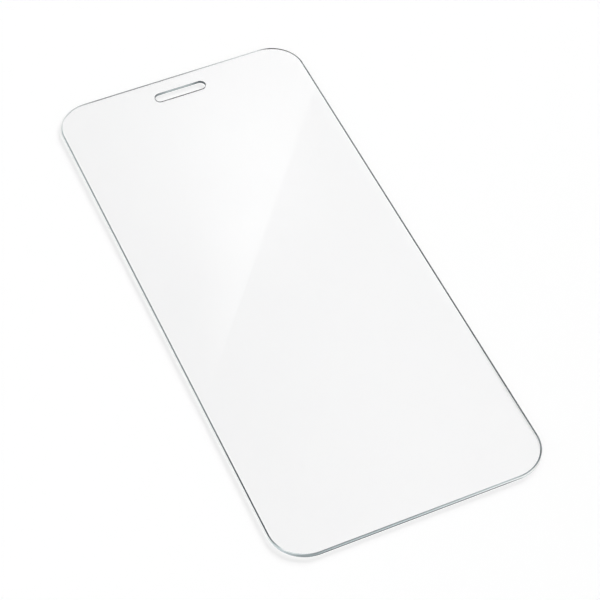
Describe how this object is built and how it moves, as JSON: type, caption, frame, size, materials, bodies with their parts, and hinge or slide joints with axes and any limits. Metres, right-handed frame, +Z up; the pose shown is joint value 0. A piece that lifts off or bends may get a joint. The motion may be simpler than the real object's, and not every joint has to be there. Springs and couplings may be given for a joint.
{
  "type": "phone screen protector",
  "caption": "Clear tempered-glass phone screen protector: a thin flat sheet with rounded corners, a polished rounded edge and an earpiece slot near one short end.",
  "frame": {"origin": "middle of the underside, the face that sticks to the phone", "axes": "+X across the sheet, +Y along its length towards the earpiece end, +Z up through its thickness"},
  "size_m": [0.066, 0.148, 0.0007],
  "materials": {
    "clear_glass": "clear, polished, faintly green at the edges"
  },
  "bodies": {
    "root": {"glass_sheet": "clear_glass"}
  },
  "joints": []
}
